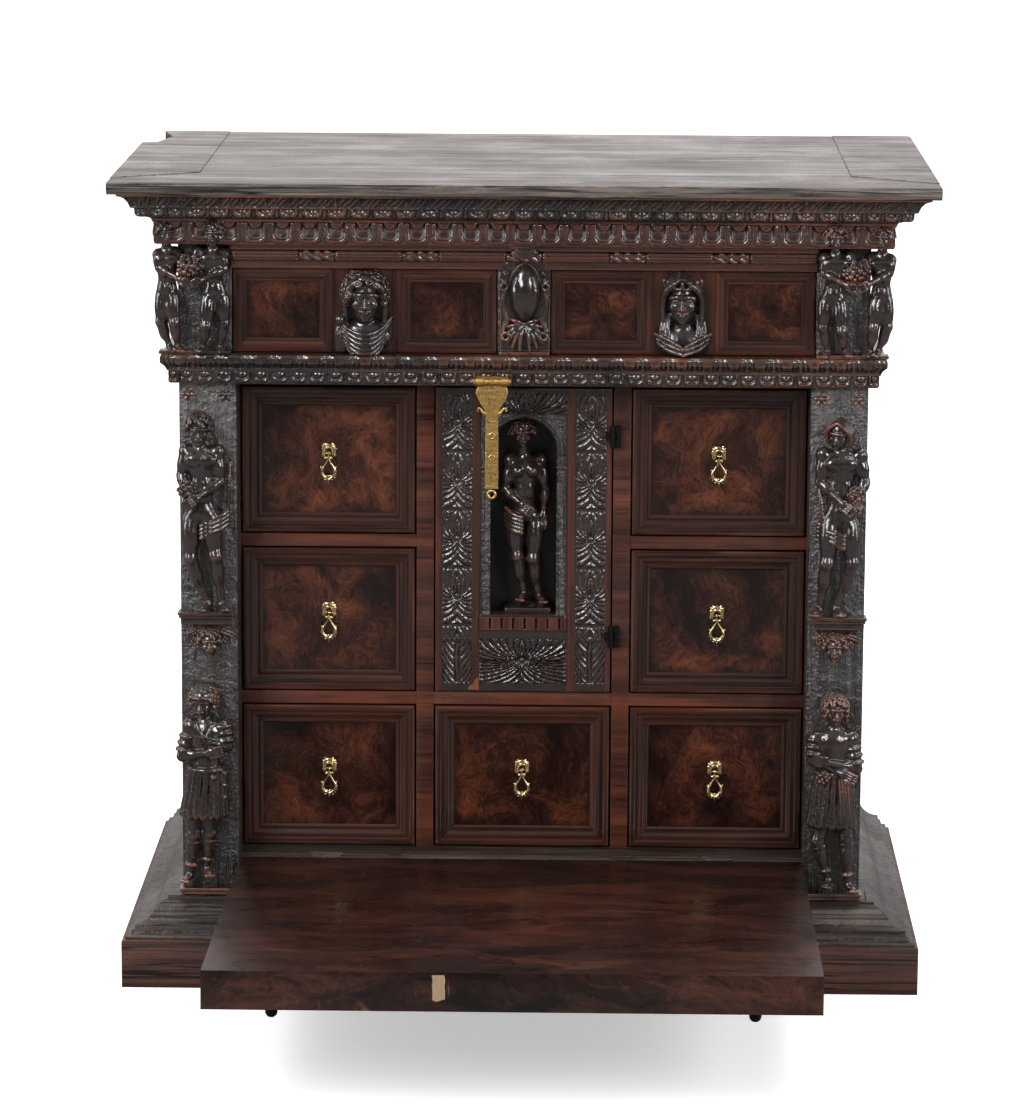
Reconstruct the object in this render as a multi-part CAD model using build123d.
"""Drop-front walnut cabinet with carved figures (a Genoese stipo a bambocci).

Millimetres, +Z up. The origin is on the floor, in the middle of the area that the cabinet
takes with its fall open; the front faces -Y. Widths are given as half widths from the centre
plane, depths from the face of the posts.
"""
import os
from math import cos, pi, radians, sin

from build123d import *

# ---------------------------------------------------------------- driving dimensions
CASE_HALF = 328.0            # outer half width of the posts
CASE_DEPTH = 415.0           # face of the posts to the back of the case
OPENING_HALF = 273.5         # half width of the front opening
RECESS = 50.0                # face of the posts to the face of the drawers

PLINTH_SIDE = 55.0           # plinth projection at the sides
PLINTH_FRONT = 58.0          # plinth projection at the front
PLINTH_HEIGHT = 46.0
PLINTH_BOARD = 40.0          # thickness of the plinth's frame boards
FLOOR = 115.0                # inside floor of the case
WAIST_UNDER = 582.0          # top of the front opening
WAIST_TOP = 610.5
FRIEZE_HEAD = 692.0          # top of the frieze drawers' openings
ARCHITRAVE_TOP = 738.0
SLAB_UNDER = 766.0
TOP = 778.3

SIDE_BOARD = 18.0
BACK_BOARD = 18.0
NEST_BOARD = 12.0            # upright linings of the drawer nest
NEST_TOP_BOARD = 10.5
SHELF = 12.5                 # shelves between the drawers
DIVIDER = 17.0
CENTRE_HALF = 86.5           # half width of the centre bay
RAIL_SETBACK = 2.0           # shelves and dividers behind the drawers' faces
BOTTOM_BAY = 142.5           # clear height of the lowest row of drawers
MIDDLE_BAY = 143.5
MUNTIN_HALF = 25.0           # post between the frieze drawers
FRIEZE_HALF = 277.0          # half width of the frieze between its end blocks

FRONT_GAP = 1.5              # round a nest drawer's front
FRIEZE_GAP = 0.8             # round a frieze drawer's front
RUN_GAP = 0.3                # under a drawer box, and between faces that slide
SIDE_RUN = 1.0               # beside a drawer box
FRAME_WIDTH = 19.0           # moulding frame on a drawer's front
FRAME_DEPTH = 6.0
FRONT_BOARD = 13.0
BOX_SIDE = 8.0
BOX_BOTTOM = 6.0
BOX_BACK_SPACE = 8.0         # behind a closed drawer
BOX_HEAD_SPACE = 12.0        # above a drawer box's sides

FALL_HALF = 272.0
FALL_THICK = 35.0
FALL_TILT = 2.4              # the open fall rises this much towards its free edge
FALL_HEAD_GAP = 0.8          # closed fall to the waist
FALL_HEEL_GAP = 0.5          # fall to the rounded threshold
FALL_FOOT_GAP = 0.3          # closed fall to the threshold's flat top
SEAT_GAP = 0.3               # open fall to the base moulding that it rests on
HINGE_X = 190.0
HINGE_NOTCH = 32.0
HINGE_PIN_R = 2.5
HINGE_KNUCKLE_R = 5.0
HINGE_TANG = 45.0
HINGE_TANG_THICK = 5.0
HINGE_TANG_WIDTH = 20.0
PIN_CLEARANCE = 0.05         # radial running fit of every pin
KNOB_X = 215.5
KNOB_INSET = 72.0            # knob to the fall's free edge

DOOR_THICK = 13.0
DOOR_SINK = 3.0              # flat ground of the door behind its carved faces
CARVING_RELIEF = 2.5
NICHE_HALF = 32.0
NICHE_FLOOR_RISE = 76.0      # niche floor above the door's foot
NICHE_CROWN_DROP = 29.0      # niche crown below the door's top
NICHE_DEPTH = 34.0           # behind the door's face
NICHE_WALL = 4.0
DOOR_PIN_R = 1.6
DOOR_KNUCKLE_R = 3.2
DOOR_PIN_FORWARD = 2.0       # door pins in front of the door's face
LOW_HINGE_RISE = 55.5        # lower door hinge above the door's foot
HIGH_HINGE_DROP = 46.0       # upper door hinge below the door's top

PULL_LENGTH = 30.0           # pin to the drop's tip
PULL_WIDTH = 17.0
PULL_PIN_R = 1.0
PULL_PIN_HALF = 3.4
PULL_RISE = 6.5              # pull pin above the centre of the drawer's field
PULL_REACH = 6.0             # pull pin in front of the field

HASP_X = -29.4
HASP_HALF = 15.5
HASP_LENGTH = 114.0
HASP_STRAP_HALF = 6.6
HASP_THICK = 2.6
HASP_KNUCKLE_R = 4.5
HASP_PIN_R = 2.0
HASP_PIN_FORWARD = 20.0      # hasp pin in front of the posts
HASP_PIN_RISE = 5.0          # hasp pin above the waist's underside
HASP_KNUCKLE_HALF = 8.0

# ---------------------------------------------------------------- worked-out places
TILT_COS = cos(radians(FALL_TILT))
TILT_SIN = sin(radians(FALL_TILT))
FALL_LENGTH = WAIST_UNDER - FALL_HEAD_GAP - FLOOR
FALL_REACH = (FALL_LENGTH + FALL_THICK / 2) * TILT_COS + FALL_THICK / 2 * (TILT_SIN - 1)
PLINTH_HALF = CASE_HALF + PLINTH_SIDE
FACE = (FALL_REACH - CASE_DEPTH) / 2
BACK = FACE + CASE_DEPTH
DRAWER_FACE = FACE + RECESS
RAIL_FACE = DRAWER_FACE + RAIL_SETBACK
BACK_INNER = BACK - BACK_BOARD
NEST_HALF = OPENING_HALF + NEST_BOARD
NEST_CEILING = WAIST_UNDER - NEST_TOP_BOARD
SHELF_1 = FLOOR + BOTTOM_BAY
SHELF_2 = SHELF_1 + SHELF + MIDDLE_BAY
SIDE_BAY = CENTRE_HALF + DIVIDER
BAYS = {                     # name: (left, right, floor, ceiling) of each nest drawer's bay
    "upper_left": (-OPENING_HALF, -SIDE_BAY, SHELF_2 + SHELF, NEST_CEILING),
    "upper_right": (SIDE_BAY, OPENING_HALF, SHELF_2 + SHELF, NEST_CEILING),
    "middle_left": (-OPENING_HALF, -SIDE_BAY, SHELF_1 + SHELF, SHELF_2),
    "middle_right": (SIDE_BAY, OPENING_HALF, SHELF_1 + SHELF, SHELF_2),
    "lower_left": (-OPENING_HALF, -SIDE_BAY, FLOOR, SHELF_1),
    "lower_centre": (-CENTRE_HALF, CENTRE_HALF, FLOOR, SHELF_1),
    "lower_right": (SIDE_BAY, OPENING_HALF, FLOOR, SHELF_1),
}
FRIEZE_BAYS = {
    "frieze_left": (-FRIEZE_HALF, -MUNTIN_HALF, WAIST_TOP, FRIEZE_HEAD),
    "frieze_right": (MUNTIN_HALF, FRIEZE_HALF, WAIST_TOP, FRIEZE_HEAD),
}
FALL_PIVOT_Y = FACE + FALL_THICK / 2
FALL_PIVOT_Z = FLOOR - FALL_THICK / 2
FALL_HEEL = FALL_THICK / 2 * (TILT_COS - TILT_SIN)
BASE_TOP = FALL_PIVOT_Z - FALL_HEEL - SEAT_GAP      # top of the moulding that the posts stand on
DOOR_HALF = CENTRE_HALF - FRONT_GAP
DOOR_BOTTOM = SHELF_1 + SHELF + FRONT_GAP
DOOR_TOP = NEST_CEILING - FRONT_GAP
NICHE_FLOOR = DOOR_BOTTOM + NICHE_FLOOR_RISE
NICHE_CROWN = DOOR_TOP - NICHE_CROWN_DROP
DOOR_HINGE_HEIGHTS = (DOOR_BOTTOM + LOW_HINGE_RISE, DOOR_TOP - HIGH_HINGE_DROP)
DOOR_PIN_X = CENTRE_HALF - FRONT_GAP / 2
DOOR_PIN_Y = DRAWER_FACE - DOOR_PIN_FORWARD
HASP_PIN_Y = FACE - HASP_PIN_FORWARD
HASP_PIN_Z = WAIST_UNDER + HASP_PIN_RISE


# ---------------------------------------------------------------- shapes
def block(x0, x1, y0, y1, z0, z1):
    """A square-cut board between two corners."""
    middle = Pos((x0 + x1) / 2, (y0 + y1) / 2, (z0 + z1) / 2)
    return middle * Box(abs(x1 - x0), abs(y1 - y0), abs(z1 - z0))


def outline(place, start, *steps):
    """A closed flat face. A step is a corner (a, b), or an arc (via a, via b, a, b)."""
    edges = []
    here = start
    for step in steps:
        there = step[-2:]
        if len(step) == 4:
            edges.append(ThreePointArc(place(*here), place(*step[:2]), place(*there)))
        else:
            edges.append(Line(place(*here), place(*there)))
        here = there
    edges.append(Line(place(*here), place(*start)))
    return make_face(Curve() + edges)


def along_x(x0, x1, place, start, *steps):
    """Extrude an outline drawn in (y, z) from x0 to x1."""
    return extrude(Plane.YZ.offset(x0) * outline(place, start, *steps), amount=x1 - x0)


def along_y(y0, y1, place, start, *steps):
    """Extrude an outline drawn in (x, z) from y0 to y1."""
    return extrude(Plane.XZ.offset(-y1) * outline(place, start, *steps), amount=y1 - y0)


def along_z(z0, z1, start, *steps):
    """Extrude an outline drawn in (x, y) from z0 to z1."""
    return extrude(Plane.XY.offset(z0) * outline(lambda a, b: (a, b), start, *steps), amount=z1 - z0)


def moulding(reach, inset, back, z0, z1, start, *steps):
    """A profile of (projection, height) run round the front and both sides, in mitred strips."""
    half = CASE_HALF
    wide = half + reach
    front = along_x(-wide, wide, lambda p, z: (FACE - p, z), start, *steps)
    plan = along_z(z0, z1, (-half + inset, FACE + inset), (half - inset, FACE + inset),
                   (wide, FACE - reach), (-wide, FACE - reach))
    strips = [front & plan]
    for side in (-1, 1):
        run = along_y(FACE - reach, back, lambda p, z: (side * (half + p), z), start, *steps)
        plan = along_z(z0, z1, (side * (half - inset), FACE + inset), (side * (half - inset), back),
                       (side * wide, back), (side * wide, FACE - reach))
        strips.append(run & plan)
    return strips


def limb(a, b, ra, rb):
    """A tapered limb with rounded ends."""
    run = Vector(*b) - Vector(*a)
    axis = Plane(origin=a, z_dir=run)
    seat = (Align.CENTER, Align.CENTER, Align.MIN)
    if abs(ra - rb) < 0.01:
        shaft = axis * Cylinder(ra, run.length, align=seat)
    else:
        shaft = axis * Cone(ra, rb, run.length, align=seat)
    return shaft + Pos(*a) * Sphere(ra) + Pos(*b) * Sphere(rb)


def trunk(x, y, sections):
    """A smooth body through elliptical sections (z, half width, half depth, shift x)."""
    rings = []
    for z, half_width, half_depth, shift in sections:
        rings.append(Plane((x + shift, y, z)) * Ellipse(half_width, half_depth))
    return loft(rings)


def figure(x, y, z, height, head, lean=1, robe=False, arms="folded"):
    """A standing figure, feet at z; head is its head's share of the height, lean its free leg."""
    h = height
    neck_z = z + h * (1 - 2 * head)
    build = 0.5 + 3.6 * head
    if robe:
        rings = [(0.30, 0.167, 0.104), (0.47, 0.150, 0.094), (0.62, 0.082, 0.064), (0.72, 0.094, 0.066)]
    else:
        rings = [(0.46, 0.078, 0.062), (0.53, 0.100, 0.072), (0.62, 0.076, 0.058), (0.72, 0.094, 0.066)]
    sections = [(z + rise * h, wide * h * build, deep * h * build, 0) for rise, wide, deep in rings]
    sections.append((neck_z - 0.015 * h, 0.112 * h * build, 0.056 * h * build, 0))
    body = trunk(x, y, sections)
    skull = head * h
    body += Pos(x + 0.01 * h * lean, y - 0.012 * h, z + h - skull) * Sphere(skull * 0.93)
    body += limb((x, y, neck_z - 0.03 * h), (x, y - 0.01 * h, neck_z + 0.04 * h), 0.034 * h, 0.031 * h)
    for side in (-1, 1):
        bend = 0.035 * h if side == lean else 0.0
        hip = (x + side * 0.046 * h, y, z + 0.48 * h)
        knee = (x + side * 0.052 * h, y - bend, z + 0.27 * h)
        ankle = (x + side * 0.048 * h, y + 0.2 * bend, z + 0.05 * h)
        body += limb(hip, knee, 0.052 * h, 0.036 * h)
        body += limb(knee, ankle, 0.034 * h, 0.022 * h)
        foot_x = x + side * 0.052 * h
        body += block(foot_x - 0.022 * h, foot_x + 0.022 * h, y - 0.075 * h, y + 0.03 * h, z, z + 0.035 * h)
        shoulder = (x + side * 0.105 * h * build, y, neck_z - 0.045 * h)
        elbow = (x + side * 0.128 * h * build, y - 0.012 * h, z + 0.635 * h)
        if arms == "hanging" and side == 1:
            hand = (x + side * 0.100 * h, y - 0.03 * h, z + 0.47 * h)
        else:
            hand = (x + side * 0.026 * h, y - 0.074 * h * build, z + (0.60 + 0.015 * side) * h)
        body += limb(shoulder, elbow, 0.030 * h, 0.025 * h)
        body += limb(elbow, hand, 0.024 * h, 0.019 * h)
    return body


def in_front(shape, y):
    """Keep what lies in front of the plane y, so that the back lies flat on what carries it."""
    return shape & block(-CASE_HALF - 100, CASE_HALF + 100, y - 100, y, 0, TOP)


# ---------------------------------------------------------------- plinth and case
def plinth_block():
    """Four mitred boards that stand on the floor."""
    near = FACE - PLINTH_FRONT
    wide = PLINTH_HALF
    w = PLINTH_BOARD
    boards = [along_z(0, PLINTH_HEIGHT, (-wide, near), (wide, near), (wide - w, near + w),
                      (-wide + w, near + w))]
    for side in (-1, 1):
        boards.append(along_z(0, PLINTH_HEIGHT, (side * wide, near), (side * wide, BACK),
                              (side * (wide - w), BACK), (side * (wide - w), near + w)))
    boards.append(block(-wide + w, wide - w, BACK - w, BACK, 0, PLINTH_HEIGHT))
    return boards


BASE_NOSE = 14.0             # projection of the moulding's top edge
FILLET = 8.6                 # width of the moulding's two lower fillets


def plinth_moulding():
    """Two fillets and a broad wave moulding, mitred round the front and sides, with a back rail."""
    low = PLINTH_HEIGHT
    high = BASE_TOP
    rise = high - low
    edge = min(PLINTH_SIDE, PLINTH_FRONT) - 3.0
    wave = edge - FILLET
    run = wave - BASE_NOSE
    strips = moulding(
        PLINTH_FRONT, PLINTH_BOARD, BACK, low, high,
        (-PLINTH_BOARD, low), (edge, low), (edge - 0.8, low + 0.10 * rise), (wave + 3.0, low + 0.11 * rise),
        (wave + 2.6, low + 0.24 * rise), (wave, low + 0.25 * rise), (wave - 0.4, low + 0.38 * rise),
        (wave - 0.34 * run, low + 0.45 * rise, wave - 0.58 * run, low + 0.63 * rise),
        (wave - 0.77 * run, low + 0.82 * rise, BASE_NOSE + 1.5, low + 0.9 * rise),
        (BASE_NOSE, low + 0.9 * rise), (BASE_NOSE, high), (-PLINTH_BOARD, high))
    inner = CASE_HALF - PLINTH_BOARD
    strips.append(block(-inner, inner, BACK - PLINTH_BOARD, BACK, low, high))
    return strips


def bottom_boards():
    """The rounded threshold under the fall and the floor board behind it."""
    nose = FALL_THICK / 2 - FALL_HEEL_GAP
    corner = nose * sin(pi / 4)
    face = FACE + FALL_HEEL_GAP
    threshold = along_x(
        -OPENING_HALF, OPENING_HALF, lambda y, z: (y, z),
        (face, BASE_TOP), (face, FALL_PIVOT_Z),
        (FALL_PIVOT_Y - corner, FALL_PIVOT_Z + corner, FALL_PIVOT_Y, FALL_PIVOT_Z + nose),
        (FALL_PIVOT_Y, FLOOR), (DRAWER_FACE, FLOOR), (DRAWER_FACE, BASE_TOP))
    knuckle_room = HINGE_KNUCKLE_R + 1.5
    tail = FALL_PIVOT_Y + knuckle_room
    for side in (-1, 1):
        x = side * HINGE_X
        notch = block(x - HINGE_NOTCH / 2, x + HINGE_NOTCH / 2, FACE - 5, tail,
                      FALL_PIVOT_Z - knuckle_room, FLOOR + 5)
        pin = Pos(x, FALL_PIVOT_Y, FALL_PIVOT_Z) * Rot(0, 90, 0) * Cylinder(HINGE_PIN_R, HINGE_NOTCH + 16)
        threshold = threshold - notch - pin
    floor_board = block(-(CASE_HALF - SIDE_BOARD), CASE_HALF - SIDE_BOARD, DRAWER_FACE, BACK_INNER,
                        BASE_TOP, FLOOR)
    return [threshold, floor_board]


def corner_posts():
    """Posts beside the opening, the frieze blocks above them and the post between the drawers."""
    posts = []
    for side in (-1, 1):
        posts.append(block(side * OPENING_HALF, side * CASE_HALF, FACE, DRAWER_FACE, BASE_TOP, WAIST_UNDER))
        posts.append(block(side * FRIEZE_HALF, side * CASE_HALF, FACE, DRAWER_FACE, WAIST_TOP, FRIEZE_HEAD))
    posts.append(block(-MUNTIN_HALF, MUNTIN_HALF, FACE, DRAWER_FACE, WAIST_TOP, FRIEZE_HEAD))
    return posts


def side_panels():
    boards = []
    for side in (-1, 1):
        boards.append(block(side * (CASE_HALF - SIDE_BOARD), side * CASE_HALF, DRAWER_FACE, BACK,
                            BASE_TOP, SLAB_UNDER))
    return boards


def back_panel():
    inner = CASE_HALF - SIDE_BOARD
    return [block(-inner, inner, BACK_INNER, BACK, BASE_TOP, SLAB_UNDER)]


def middle_board():
    """The board between the opening and the frieze, and the upright board behind its middle post."""
    inner = CASE_HALF - SIDE_BOARD
    board = block(-CASE_HALF, CASE_HALF, FACE, DRAWER_FACE, WAIST_UNDER, WAIST_TOP)
    board += block(-inner, inner, DRAWER_FACE, BACK_INNER, WAIST_UNDER, WAIST_TOP)
    upright = block(-NEST_BOARD, NEST_BOARD, DRAWER_FACE, BACK_INNER, WAIST_TOP, SLAB_UNDER)
    return [board, upright]


def nest_case():
    """Linings and top of the nest of drawers."""
    boards = []
    for side in (-1, 1):
        boards.append(block(side * OPENING_HALF, side * NEST_HALF, DRAWER_FACE, BACK_INNER,
                            FLOOR, NEST_CEILING))
    boards.append(block(-NEST_HALF, NEST_HALF, RAIL_FACE, BACK_INNER, NEST_CEILING, WAIST_UNDER))
    return boards


def nest_dividers():
    """Uprights each side of the door, and the shelves between the drawers."""
    boards = []
    for side in (-1, 1):
        boards.append(block(side * CENTRE_HALF, side * SIDE_BAY, RAIL_FACE, BACK_INNER, FLOOR, NEST_CEILING))
        for shelf in (SHELF_1, SHELF_2):
            boards.append(block(side * SIDE_BAY, side * OPENING_HALF, RAIL_FACE, BACK_INNER,
                                shelf, shelf + SHELF))
    boards.append(block(-CENTRE_HALF, CENTRE_HALF, RAIL_FACE, BACK_INNER, SHELF_1, SHELF_1 + SHELF))
    return boards


WAIST_NOSE = 17.0
WAIST_LOWER = 9.0            # projection of the waist's lower band


def waist_moulding():
    low = WAIST_UNDER
    high = WAIST_TOP
    split = low + 0.42 * (high - low)
    return moulding(
        WAIST_NOSE, 0, BACK, low, high,
        (0, low), (WAIST_LOWER - 1.0, low), (WAIST_LOWER, low + 1.0), (WAIST_LOWER, split), (10.5, split),
        (11.2, split + 4.5, WAIST_NOSE - 1.5, split + 7.5), (WAIST_NOSE, split + 7.5),
        (WAIST_NOSE, high - 2.5), (WAIST_NOSE - 2, high), (0, high))


REED = 9.0                   # projection of the reeded strip over the frieze drawers
COIN_BAND = 21.0             # projection of the architrave's band of coins
COIN_BAND_HEIGHT = 22.0
COIN_BAND_Z = ARCHITRAVE_TOP - COIN_BAND_HEIGHT


def reeded_rail():
    """Rail over the frieze drawers with its reeded strip."""
    low = FRIEZE_HEAD
    rise = COIN_BAND_Z - low
    return along_x(
        -FRIEZE_HALF, FRIEZE_HALF, lambda p, z: (FACE - p, z), (-25, low), (4, low), (4, low + 0.31 * rise),
        (REED, low + 0.52 * rise, 4.5, low + 0.73 * rise), (11, low + 0.77 * rise), (11, COIN_BAND_Z),
        (-25, COIN_BAND_Z))


def coin_band():
    """The architrave's band of coins, mitred round the front and sides."""
    return moulding(
        COIN_BAND, 0, BACK, COIN_BAND_Z, ARCHITRAVE_TOP,
        (0, COIN_BAND_Z), (COIN_BAND - 2, COIN_BAND_Z), (COIN_BAND, COIN_BAND_Z + 3),
        (COIN_BAND, ARCHITRAVE_TOP), (0, ARCHITRAVE_TOP))


def frieze_rail():
    """Everything between the frieze drawers and the cornice."""
    wings = []
    for side in (-1, 1):
        wings.append(block(side * FRIEZE_HALF, side * CASE_HALF, FACE, DRAWER_FACE, FRIEZE_HEAD, COIN_BAND_Z))
    core = block(-CASE_HALF, CASE_HALF, FACE, FACE + 25, COIN_BAND_Z, SLAB_UNDER)
    return [reeded_rail(), core] + wings + coin_band()


CORNICE_REACH = 53.0
SLAB_REACH = 62.0            # slab's nose beyond the posts at the sides
SLAB_FRONT = 55.3            # and at the front


def cornice():
    """A small cove, a row of eggs and a row of leaves under the top."""
    low = ARCHITRAVE_TOP
    rise = SLAB_UNDER - low
    return moulding(
        CORNICE_REACH, 0, BACK, low, SLAB_UNDER,
        (0, low), (22, low), (23.5, low + 0.11 * rise, 28.5, low + 0.18 * rise), (33.5, low + 0.19 * rise),
        (36.8, low + 0.32 * rise, 37.5, low + 0.50 * rise), (41, low + 0.52 * rise),
        (42.0, low + 0.59 * rise),
        (45.2, low + 0.84 * rise, 50.5, low + 0.93 * rise), (CORNICE_REACH, low + 0.95 * rise),
        (CORNICE_REACH, SLAB_UNDER), (0, SLAB_UNDER))


CLEAT_WIDTH = 80.0           # end boards of the top
FRONT_STRIP = 95.0
FRONT_STRIP_END = 40.0       # where the front strip's long mitre meets the outer edge
BOARD_RISE = 0.8             # end boards stand a little proud of the top


def top_boards():
    """The top: a wide board, a front strip with long mitres and two end boards."""
    wide = SLAB_REACH + CASE_HALF
    near = FACE - SLAB_FRONT
    inner = wide - CLEAT_WIDTH
    seam = near + FRONT_STRIP
    nose = SLAB_UNDER + 4.0
    main = block(-inner, inner, seam, BACK, SLAB_UNDER, TOP - BOARD_RISE)
    strip = along_z(SLAB_UNDER, TOP - BOARD_RISE, (-wide, near), (wide, near),
                    (wide, near + FRONT_STRIP_END), (inner, seam), (-inner, seam),
                    (-wide, near + FRONT_STRIP_END))
    lower_edge = along_x(-wide, wide, lambda y, z: (y, z), (near, SLAB_UNDER), (near, nose),
                         (near + 3, SLAB_UNDER))
    boards = [main, strip - lower_edge]
    for side in (-1, 1):
        cleat = along_z(SLAB_UNDER, TOP, (side * inner, BACK), (side * (wide - 9), BACK),
                        (side * (wide - 2.5), BACK - 2.5, side * wide, BACK - 9),
                        (side * wide, near + FRONT_STRIP_END), (side * inner, seam))
        if side < 0:
            damage = along_z(SLAB_UNDER - 1, TOP + 1, (-wide - 5, BACK - 115), (-wide + 15, BACK - 110),
                             (-wide + 26, BACK - 55), (-wide + 12, BACK + 5), (-wide - 5, BACK + 5))
            cleat -= damage
        boards.append(cleat)
    return boards


# ---------------------------------------------------------------- fall
def tilted(shape):
    """Turn a level fall's piece up to its rest angle about the hinge."""
    spin = Rot(-FALL_TILT, 0, 0)
    return Pos(0, FALL_PIVOT_Y, FALL_PIVOT_Z) * spin * Pos(0, -FALL_PIVOT_Y, -FALL_PIVOT_Z) * shape


def fall_board():
    """One plank between two end cleats, slotted for the hinge tangs."""
    near = FACE - FALL_LENGTH
    low = FLOOR - FALL_THICK
    board = block(-FALL_HALF, FALL_HALF, near, FACE - FALL_FOOT_GAP, low, FLOOR)
    for side in (-1, 1):
        x = side * HINGE_X
        slot = block(x - HINGE_TANG_WIDTH / 2, x + HINGE_TANG_WIDTH / 2, FACE - HINGE_TANG, FACE + 1,
                     FALL_PIVOT_Z - HINGE_TANG_THICK / 2, FALL_PIVOT_Z + HINGE_TANG_THICK / 2)
        board -= slot
    for side in (-1, 1):
        neck = Pos(side * KNOB_X, near + KNOB_INSET, low) * Cylinder(KNOB_NECK_R, 2 * KNOB_TENON)
        board -= neck
    return [tilted(board)]


KNOB_R = 5.2
KNOB_NECK_R = 2.4
KNOB_TENON = 10.0
KNOB_NECK = 6.0


def fall_knobs():
    """Two small turned knobs on the fall's outer face, tenoned into it."""
    near = FACE - FALL_LENGTH
    low = FLOOR - FALL_THICK
    knobs = []
    for side in (-1, 1):
        x = side * KNOB_X
        y = near + KNOB_INSET
        top_end = (Align.CENTER, Align.CENTER, Align.MAX)
        neck = Pos(x, y, low + KNOB_TENON) * Cylinder(KNOB_NECK_R, KNOB_TENON + KNOB_NECK, align=top_end)
        ball = Pos(x, y, low - KNOB_NECK - 0.6 * KNOB_R) * Sphere(KNOB_R)
        knobs.append(tilted(neck + ball))
    return knobs


def fall_hinge_tangs():
    """Iron knuckles with tangs let into the fall's lower edge."""
    tangs = []
    for side in (-1, 1):
        x = side * HINGE_X
        width = HINGE_TANG_WIDTH
        knuckle = Pos(x, FALL_PIVOT_Y, FALL_PIVOT_Z) * Rot(0, 90, 0) * Cylinder(HINGE_KNUCKLE_R, width)
        tang = block(x - width / 2, x + width / 2, FACE - HINGE_TANG, FALL_PIVOT_Y,
                     FALL_PIVOT_Z - HINGE_TANG_THICK / 2, FALL_PIVOT_Z + HINGE_TANG_THICK / 2)
        bore = Pos(x, FALL_PIVOT_Y, FALL_PIVOT_Z) * Rot(0, 90, 0)
        bore = bore * Cylinder(HINGE_PIN_R + PIN_CLEARANCE, width + 10)
        tangs.append(tilted(knuckle + tang - bore))
    return tangs


# ---------------------------------------------------------------- door
def arch(half, floor, crown, y0, y1):
    """An upright opening with a round head."""
    spring = crown - half
    return along_y(y0, y1, lambda a, b: (a, b), (-half, floor), (half, floor), (half, spring),
                   (0, crown, -half, spring))


STRIP_INNER = 49.5           # carved strips of the door, from the centre
STRIP_MARGIN = 7.5           # plain edge outside them
CARVED_MARGIN = 2.0          # plain edge above and below the carving
BAND_HEIGHT = 22.5           # leaf band over the arch
FAN_HEIGHT = 44.0            # double fan at the foot
FAN_RISE = 7.5               # plain edge below the fan
LEDGE_HEIGHT = 14.0          # fluted ledge under the niche
LEDGE_DROP = 2.5             # below the niche's floor


def door_leaf():
    """The door's board with its raised carved panels and the arch cut through."""
    face = DRAWER_FACE
    ground = face + DOOR_SINK
    leaf = block(-DOOR_HALF, DOOR_HALF, ground, ground + DOOR_THICK, DOOR_BOTTOM, DOOR_TOP)
    relief = ground - CARVING_RELIEF
    band_top = DOOR_TOP - CARVED_MARGIN
    fan_foot = DOOR_BOTTOM + FAN_RISE
    ledge_top = NICHE_FLOOR - LEDGE_DROP
    middle = STRIP_INNER - CARVED_MARGIN
    outer = DOOR_HALF - STRIP_MARGIN
    panels = [(-middle, middle, band_top - BAND_HEIGHT, band_top),
              (-middle, middle, fan_foot, fan_foot + FAN_HEIGHT),
              (-middle, middle, ledge_top - LEDGE_HEIGHT, ledge_top)]
    for side in (-1, 1):
        panels.append((side * STRIP_INNER, side * outer, fan_foot + FAN_HEIGHT + CARVED_MARGIN, band_top))
        panels.append((side * STRIP_INNER, side * outer, fan_foot - CARVED_MARGIN, fan_foot + FAN_HEIGHT))
    for x0, x1, z0, z1 in panels:
        leaf += block(x0, x1, relief, ground, z0, z1)
    leaf -= arch(NICHE_HALF, NICHE_FLOOR, NICHE_CROWN, face - 5, ground + DOOR_THICK + 5)
    return [leaf]


def door_niche():
    """The hollow block behind the arch."""
    ground = DRAWER_FACE + DOOR_SINK
    rear = ground + NICHE_DEPTH
    shell = block(-NICHE_HALF - NICHE_WALL, NICHE_HALF + NICHE_WALL, ground + DOOR_THICK, rear + NICHE_WALL,
                  NICHE_FLOOR - NICHE_WALL, NICHE_CROWN + NICHE_WALL)
    return [shell - arch(NICHE_HALF, NICHE_FLOOR, NICHE_CROWN, ground, rear)]


STATUE_BASE = 11.0


def statue():
    """A standing figure on a low base in the niche."""
    y = DRAWER_FACE + 20.0
    base = block(-21, 24, y - 13, y + 13, NICHE_FLOOR, NICHE_FLOOR + STATUE_BASE)
    height = NICHE_CROWN - NICHE_FLOOR - STATUE_BASE - 4.0
    person = figure(3, y, NICHE_FLOOR + STATUE_BASE, height, 0.066, lean=1, arms="hanging")
    return [base + person]


DOOR_KNUCKLE = 7.0           # height of each door knuckle


def door_hinge_eyes():
    """Iron eyes on the door's edge."""
    eyes = []
    for z in DOOR_HINGE_HEIGHTS:
        centre = Pos(DOOR_PIN_X, DOOR_PIN_Y, z)
        eye = centre * Cylinder(DOOR_KNUCKLE_R, DOOR_KNUCKLE)
        eye += block(DOOR_HALF - 6.5, DOOR_PIN_X, DOOR_PIN_Y - 1.2, DRAWER_FACE + DOOR_SINK,
                     z - DOOR_KNUCKLE / 2, z + DOOR_KNUCKLE / 2)
        eye -= block(DOOR_PIN_X - DOOR_KNUCKLE_R, DOOR_PIN_X + 9, DOOR_PIN_Y + DOOR_KNUCKLE_R,
                     DRAWER_FACE + 20, z - 9, z + 9) & block(DOOR_HALF, DOOR_PIN_X + 9, -500, 500, 0, 900)
        eye -= centre * Cylinder(DOOR_PIN_R + PIN_CLEARANCE, DOOR_KNUCKLE + 10)
        eyes.append(eye)
    return eyes


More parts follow.
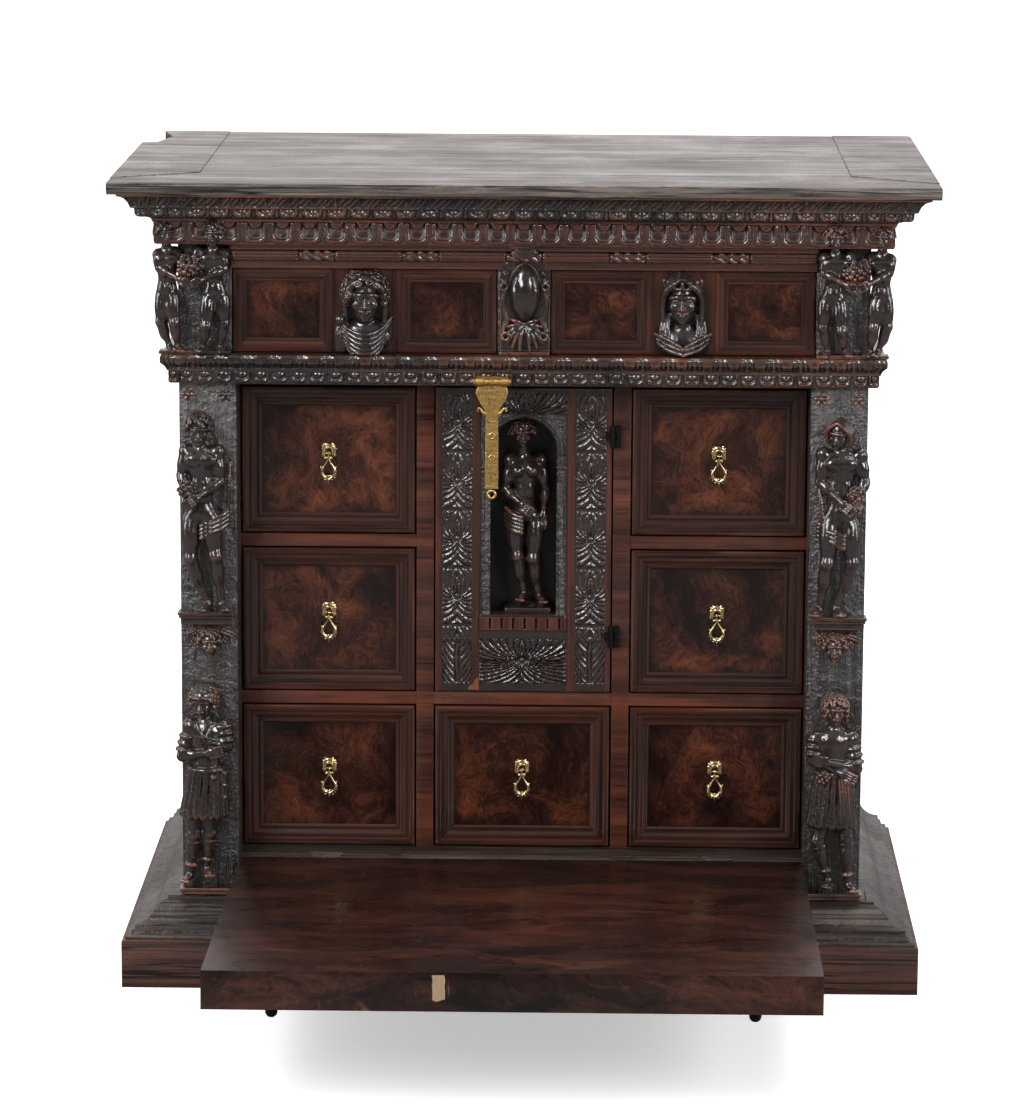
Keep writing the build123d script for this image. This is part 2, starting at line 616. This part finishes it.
def iron_hinge_pins():
    """Fixed irons: the fall's two hinge pins, and the door's two staples with their pins."""
    irons = []
    for side in (-1, 1):
        centre = Pos(side * HINGE_X, FALL_PIVOT_Y, FALL_PIVOT_Z) * Rot(0, 90, 0)
        irons.append(centre * Cylinder(HINGE_PIN_R, HINGE_NOTCH + 16))
    for z in DOOR_HINGE_HEIGHTS:
        staple = Pos(DOOR_PIN_X, DOOR_PIN_Y, z) * Cylinder(DOOR_PIN_R, 3 * DOOR_KNUCKLE)
        for side in (-1, 1):
            low = z + side * (DOOR_KNUCKLE / 2 + RUN_GAP)
            high = z + side * 1.5 * DOOR_KNUCKLE
            barrel = Cylinder(DOOR_KNUCKLE_R, abs(high - low))
            staple += Pos(DOOR_PIN_X, DOOR_PIN_Y, (low + high) / 2) * barrel
            staple += block(DOOR_PIN_X, CENTRE_HALF + 7, DOOR_PIN_Y - 1.2, DOOR_PIN_Y + 1.2, low, high)
        staple += block(CENTRE_HALF + DOOR_KNUCKLE_R, CENTRE_HALF + 7, DOOR_PIN_Y - 1.2, RAIL_FACE,
                        z - 1.5 * DOOR_KNUCKLE, z + 1.5 * DOOR_KNUCKLE)
        irons.append(staple)
    return irons


# ---------------------------------------------------------------- drawers
def mitred_frame(x0, x1, z0, z1, y, width, depth):
    """Four stepped strips round a field, mitred at the corners; y is the plane behind them."""
    def strip(a, b, turn, centre):
        steps = ((-width, 0), (-width, -0.25 * depth), (-0.74 * width, -0.35 * depth),
                 (-0.58 * width, -0.66 * depth), (-0.40 * width, -0.72 * depth), (-0.32 * width, -depth),
                 (0, -depth))
        long = abs(b - a)
        run = extrude(Plane.YZ.offset(-long / 2) * outline(lambda v, w: (w, v), (0, 0), *steps), amount=long)
        plan = outline(lambda u, v: (u, v), (-long / 2, 0), (long / 2, 0), (long / 2 - width, -width),
                       (-long / 2 + width, -width))
        plan = extrude(Plane.XZ * plan, amount=2 * depth, both=True)
        return centre * Rot(0, turn, 0) * (run & plan)
    mid_x = (x0 + x1) / 2
    mid_z = (z0 + z1) / 2
    return [strip(x0, x1, 0, Pos(mid_x, y, z1)), strip(x0, x1, 180, Pos(mid_x, y, z0)),
            strip(z0, z1, 90, Pos(x1, y, mid_z)), strip(z0, z1, 270, Pos(x0, y, mid_z))]


def drawer_box(x0, x1, z0, z1, y0, y1):
    """Two sides, a back and a bottom."""
    boards = [block(x0, x0 + BOX_SIDE, y0, y1, z0, z1), block(x1 - BOX_SIDE, x1, y0, y1, z0, z1)]
    boards.append(block(x0 + BOX_SIDE, x1 - BOX_SIDE, y1 - BOX_SIDE, y1, z0, z1))
    boards.append(block(x0 + BOX_SIDE, x1 - BOX_SIDE, y0, y1 - BOX_SIDE, z0, z0 + BOX_BOTTOM))
    return boards


def nest_front(bay):
    """Front board of a nest drawer with its moulding frame."""
    left, right, floor, ceiling = bay
    x0, x1, z0, z1 = left + FRONT_GAP, right - FRONT_GAP, floor + FRONT_GAP, ceiling - FRONT_GAP
    field = DRAWER_FACE + FRAME_DEPTH
    board = block(x0, x1, field, field + FRONT_BOARD, z0, z1)
    x, z = pull_place(bay)
    board -= Pos(x, field + FRONT_BOARD / 2, z) * Rot(90, 0, 0) * Cylinder(PULL_SHANK_R, FRONT_BOARD + 2)
    return [board] + mitred_frame(x0, x1, z0, z1, field, FRAME_WIDTH, FRAME_DEPTH)


def nest_box(bay):
    left, right, floor, ceiling = bay
    y0 = DRAWER_FACE + FRAME_DEPTH + FRONT_BOARD
    return drawer_box(left + SIDE_RUN, right - SIDE_RUN, floor + RUN_GAP, ceiling - BOX_HEAD_SPACE, y0,
                      BACK_INNER - BOX_BACK_SPACE)


# ---------------------------------------------------------------- drop pulls
PULL_SHANK_R = 1.8
ROSETTE_R = 7.0
ROSETTE_LIFT = 3.0           # rosette's centre above the pin
ROSETTE_THICK = 2.2
PULL_EYE_R = 2.6
PULL_EYE_HALF = 1.6
LOOP_HEIGHT = 17.0
LOOP_WIRE = 2.8
LOOP_HALF_THICK = 1.1
TIP_R = 1.2


def pull_place(bay):
    """Where a pull's pin stands, in x and z."""
    left, right, floor, ceiling = bay
    return (left + right) / 2, (floor + ceiling) / 2 + PULL_RISE


def pull_mount(bay):
    """Rosette with its shank through the drawer's front and a cross pin held in two cheeks."""
    x, z = pull_place(bay)
    field = DRAWER_FACE + FRAME_DEPTH
    pin_y = field - PULL_REACH
    rosette_z = z + ROSETTE_LIFT
    plate = Pos(x, field - ROSETTE_THICK / 2, rosette_z) * Rot(90, 0, 0) * Cylinder(ROSETTE_R, ROSETTE_THICK)
    shank_end = field + FRONT_BOARD
    shank = Pos(x, (field + shank_end) / 2, z) * Rot(90, 0, 0) * Cylinder(PULL_SHANK_R, shank_end - field)
    mount = plate + shank
    mount += Pos(x, pin_y, z) * Rot(0, 90, 0) * Cylinder(PULL_PIN_R, 2 * PULL_PIN_HALF)
    for side in (-1, 1):
        cheek_x = x + side * PULL_PIN_HALF
        mount += block(cheek_x - 0.8, cheek_x + 0.8, pin_y - 1.6, field - ROSETTE_THICK / 2, z - 1.6, z + 1.6)
    return [mount]


def pull_drop(bay):
    """Open pendant loop that swings on the pin, with a pointed tip below."""
    x, z = pull_place(bay)
    pin_y = DRAWER_FACE + FRAME_DEPTH - PULL_REACH
    centre = Pos(x, pin_y, z) * Rot(0, 90, 0)
    tip = z - PULL_LENGTH + TIP_R
    middle = z - 0.55 * PULL_LENGTH
    loop_foot = middle - LOOP_HEIGHT / 2
    rim = Ellipse(PULL_WIDTH / 2, LOOP_HEIGHT / 2)
    rim -= Ellipse(PULL_WIDTH / 2 - LOOP_WIRE, LOOP_HEIGHT / 2 - LOOP_WIRE)
    drop = Pos(x, pin_y, middle) * Rot(90, 0, 0) * extrude(rim, LOOP_HALF_THICK, both=True)
    drop += centre * Cylinder(PULL_EYE_R, 2 * PULL_EYE_HALF)
    drop += limb((x, pin_y, z - PULL_EYE_R + 0.5), (x, pin_y, middle + LOOP_HEIGHT / 2 - 0.8), 1.3, 1.6)
    drop += limb((x, pin_y, loop_foot + 0.8), (x, pin_y, tip), 2.4, TIP_R)
    return [drop - centre * Cylinder(PULL_PIN_R + PIN_CLEARANCE, 10)]


# ---------------------------------------------------------------- frieze drawers
FRIEZE_FRAME_WIDTH = 13.0
FRIEZE_FRAME_DEPTH = 5.0
BUST_BLOCK_HALF = 30.0


def frieze_size(bay):
    left, right, floor, ceiling = bay
    return left + FRIEZE_GAP, right - FRIEZE_GAP, floor + FRIEZE_GAP, ceiling - FRIEZE_GAP


def frieze_front(bay):
    """Front board with a plain block in the middle and a moulding frame each side of it."""
    x0, x1, z0, z1 = frieze_size(bay)
    centre = (x0 + x1) / 2
    field = FACE + FRIEZE_FRAME_DEPTH
    board = block(x0, x1, field, field + FRONT_BOARD, z0, z1)
    board += block(centre - BUST_BLOCK_HALF, centre + BUST_BLOCK_HALF, FACE, field, z0, z1)
    pieces = [board]
    for a, b in ((x0, centre - BUST_BLOCK_HALF), (centre + BUST_BLOCK_HALF, x1)):
        pieces += mitred_frame(a, b, z0, z1, field, FRIEZE_FRAME_WIDTH, FRIEZE_FRAME_DEPTH)
    return pieces


def frieze_box(bay):
    x0, x1, z0, z1 = frieze_size(bay)
    y0 = FACE + FRIEZE_FRAME_DEPTH + FRONT_BOARD
    return drawer_box(x0, x1, bay[2] + RUN_GAP, z1 - BOX_HEAD_SPACE / 2, y0, BACK_INNER - BOX_BACK_SPACE)


def frieze_bust(bay):
    """Draped head and shoulders, which also serve as the drawer's handle."""
    x0, x1, z0, z1 = frieze_size(bay)
    x = (x0 + x1) / 2
    tall = z1 - z0
    bust = trunk(x, FACE, [(z0, 26, 17, 0), (z0 + 0.22 * tall, 29, 20, 0), (z0 + 0.36 * tall, 24, 15, 0),
                           (z0 + 0.46 * tall, 9, 10, 0)])
    bust += limb((x, FACE - 8, z0 + 0.40 * tall), (x, FACE - 10, z0 + 0.58 * tall), 8, 7.6)
    bust += Pos(x, FACE - 9, z0 + 0.70 * tall) * Sphere(17.5)
    bust += Pos(x, FACE - 3, z0 + 0.72 * tall) * Sphere(22)
    return [in_front(bust, FACE) & block(x - 40, x + 40, FACE - 40, FACE, z0, z1)]


# ---------------------------------------------------------------- carvings
def putti_pair(side):
    """Two children facing each other with a bunch of fruit, standing on the waist."""
    height = ARCHITRAVE_TOP - WAIST_TOP
    inner = figure(side * (FRIEZE_HALF + 17.5), FACE - 7, WAIST_TOP, height, 0.104, lean=-side)
    outer = figure(side * (CASE_HALF + 1), FACE - 9, WAIST_TOP, height, 0.104, lean=side)
    fruit = Pos(side * (CASE_HALF - 17), FACE - 18, WAIST_TOP + 0.66 * height) * Sphere(11)
    inside = side * (FRIEZE_HALF + 3)
    web = block(inside, side * CASE_HALF, FACE - 4, FACE, WAIST_TOP, WAIST_TOP + 0.7 * height)
    ground = block(inside, side * (CASE_HALF + 14), FACE - 14, FACE, WAIST_TOP, WAIST_TOP + 4)
    return inner + outer + fruit + web + ground


def frieze_carvings():
    """The two pairs of children and the shield between the frieze drawers."""
    cutters = [reeded_rail()] + coin_band()
    carved = []
    for side in (-1, 1):
        pair = in_front(putti_pair(side), FACE) - cutters
        pair &= block(side * (FRIEZE_HALF + 1), side * (CASE_HALF + 23), FACE - 40, FACE,
                      WAIST_TOP, ARCHITRAVE_TOP)
        carved.append(largest(pair))
    shield_half = MUNTIN_HALF - FRIEZE_GAP
    tall = COIN_BAND_Z - WAIST_TOP
    shield = trunk(0, FACE, [(WAIST_TOP, 12, 11, 0), (WAIST_TOP + 0.17 * tall, 22, 18, 0),
                             (WAIST_TOP + 0.52 * tall, 26, 27, 0), (WAIST_TOP + 0.80 * tall, 25, 22, 0),
                             (COIN_BAND_Z, 21, 17, 0)])
    shield = in_front(shield, FACE) - cutters
    shield &= block(-shield_half, shield_half, FACE - 40, FACE, WAIST_TOP, COIN_BAND_Z)
    carved.append(largest(shield))
    return carved


def largest(shape):
    """The biggest solid of a cut shape, without its slivers."""
    return max(shape.solids(), key=lambda solid: solid.volume)


BRACKET_TOP = 361.5          # shelf under the upper figures
BRACKET_HEIGHT = 14.0
BRACKET_FOOT = BRACKET_TOP - BRACKET_HEIGHT
FOOT_SLAB_HEIGHT = 8.0
FOOT_SLAB_TOP = BASE_TOP + FOOT_SLAB_HEIGHT
UPPER_HEAD_ROOM = 26.5       # upper figures' heads to the waist
LOWER_HEAD_ROOM = 57.0       # lower figures' heads to the bracket
MASK_DROP = 18.5             # mask's centre below the bracket
BRACKET_REACH = 19.0


def pilaster_carvings():
    """On each post: a figure on a bracket, a mask below it and a robed figure on a slab."""
    carved = []
    near = FACE - BRACKET_REACH
    upper_height = WAIST_UNDER - UPPER_HEAD_ROOM - BRACKET_TOP
    lower_height = BRACKET_FOOT - LOWER_HEAD_ROOM - FOOT_SLAB_TOP
    mask_z = BRACKET_FOOT - MASK_DROP
    for side in (-1, 1):
        x = side * ((OPENING_HALF + CASE_HALF) / 2 + 1.2)
        outer = side * (CASE_HALF - 0.5)
        inner = side * (OPENING_HALF + 4.5)
        ledge = BRACKET_FOOT + 0.45 * BRACKET_HEIGHT
        slab = block(inner, outer, near, FACE, ledge, BRACKET_TOP)
        slab += block(inner + side * 3, outer - side * 3, near + 4, FACE, BRACKET_FOOT, ledge)
        upper = slab + figure(x, FACE - 5, BRACKET_TOP, upper_height, 0.074, lean=side)
        mask = Pos(x, FACE - 3, mask_z) * Sphere(15)
        mask += trunk(x, FACE, [(mask_z + 2, 22, 9, 0), (mask_z + 12, 25, 12, 0), (BRACKET_FOOT, 22, 10, 0)])
        ledge = FOOT_SLAB_TOP - 0.55 * FOOT_SLAB_HEIGHT
        foot = block(inner, outer, near, FACE, ledge, FOOT_SLAB_TOP)
        foot += block(inner + side * 3, outer - side * 3, FACE - BASE_NOSE, FACE, BASE_TOP, ledge)
        lower = foot + figure(x, FACE - 5, FOOT_SLAB_TOP, lower_height, 0.074, lean=-side, robe=True)
        limits = block(side * (OPENING_HALF + 1), side * (CASE_HALF + 6), FACE - 40, FACE,
                       BASE_TOP, WAIST_UNDER)
        carved.append(largest(in_front(upper + mask, FACE) & limits))
        carved.append(largest(in_front(lower, FACE) & limits))
    return carved


# ---------------------------------------------------------------- hasp
def hasp_bracket():
    """Plate on the waist with two knuckles."""
    face = FACE - WAIST_LOWER
    plate = block(HASP_X - HASP_HALF, HASP_X + HASP_HALF, face - 2, face, HASP_PIN_Z - 3.5, HASP_PIN_Z + 3.5)
    bracket = plate
    for side in (-1, 1):
        inner = HASP_X + side * (HASP_KNUCKLE_HALF + RUN_GAP)
        outer = HASP_X + side * HASP_HALF
        barrel = Pos((inner + outer) / 2, HASP_PIN_Y, HASP_PIN_Z) * Rot(0, 90, 0)
        bracket += barrel * Cylinder(HASP_KNUCKLE_R, abs(outer - inner))
        bracket += block(inner, outer, HASP_PIN_Y, face - 1, HASP_PIN_Z - 3, HASP_PIN_Z + 3)
    bracket -= Pos(HASP_X, HASP_PIN_Y, HASP_PIN_Z) * Rot(0, 90, 0) * Cylinder(HASP_PIN_R + PIN_CLEARANCE, 50)
    return [bracket]


def hasp_pin():
    """Loose pin with a head at each end."""
    centre = Pos(HASP_X, HASP_PIN_Y, HASP_PIN_Z) * Rot(0, 90, 0)
    pin = centre * Cylinder(HASP_PIN_R, 2 * HASP_HALF + 4)
    for side in (-1, 1):
        head = Pos(HASP_X + side * (HASP_HALF + RUN_GAP + 1), HASP_PIN_Y, HASP_PIN_Z) * Rot(0, 90, 0)
        pin += head * Cylinder(HASP_PIN_R + 1.3, 2)
    return [pin]


def hasp_strap():
    """Knuckle, shouldered plate and a long strap that ends in an eye."""
    x = HASP_X
    z = HASP_PIN_Z
    centre = Pos(x, HASP_PIN_Y, z) * Rot(0, 90, 0)
    neck = HASP_KNUCKLE_HALF
    plate_top = z - HASP_KNUCKLE_R - 2.0
    shoulder = plate_top - 24.0
    tip = z - HASP_LENGTH + HASP_STRAP_HALF
    narrow = HASP_STRAP_HALF
    face = along_y(
        HASP_PIN_Y - HASP_THICK / 2, HASP_PIN_Y + HASP_THICK / 2, lambda a, b: (x + a, b),
        (-neck, z), (neck, z), (neck, plate_top), (HASP_HALF, plate_top),
        (HASP_HALF - 1.0, plate_top - 14, narrow + 1.5, shoulder), (narrow, tip),
        (0, z - HASP_LENGTH, -narrow, tip), (-narrow - 1.5, shoulder),
        (-HASP_HALF + 1.0, plate_top - 14, -HASP_HALF, plate_top), (-neck, plate_top))
    face -= Pos(x, HASP_PIN_Y, tip) * Rot(90, 0, 0) * Cylinder(3.0, 10)
    strap = face + centre * Cylinder(HASP_KNUCKLE_R, 2 * HASP_KNUCKLE_HALF)
    return [strap - centre * Cylinder(HASP_PIN_R + PIN_CLEARANCE, 50)]


# ---------------------------------------------------------------- write the parts
def write(name, solids):
    """One STEP file per sub-part, its pieces as separate solids."""
    pieces = []
    for piece in solids:
        pieces += piece.solids()
    compound = Compound(children=pieces)
    compound.label = name
    export_step(compound, os.path.join("parts", name + ".step"))


def main():
    os.makedirs("parts", exist_ok=True)
    single = [plinth_block, plinth_moulding, bottom_boards, corner_posts, side_panels, back_panel,
              middle_board, nest_case, nest_dividers, waist_moulding, frieze_rail, cornice, top_boards,
              fall_board, fall_knobs, fall_hinge_tangs, door_leaf, door_niche, statue, door_hinge_eyes,
              iron_hinge_pins, frieze_carvings, pilaster_carvings, hasp_bracket, hasp_pin, hasp_strap]
    for make in single:
        write(make.__name__, make())
    for name, bay in BAYS.items():
        write(name + "_front", nest_front(bay))
        write(name + "_box", nest_box(bay))
        write(name + "_pull_mount", pull_mount(bay))
        write(name + "_pull_drop", pull_drop(bay))
    for name, bay in FRIEZE_BAYS.items():
        write(name + "_front", frieze_front(bay))
        write(name + "_box", frieze_box(bay))
        write(name + "_bust", frieze_bust(bay))


main()
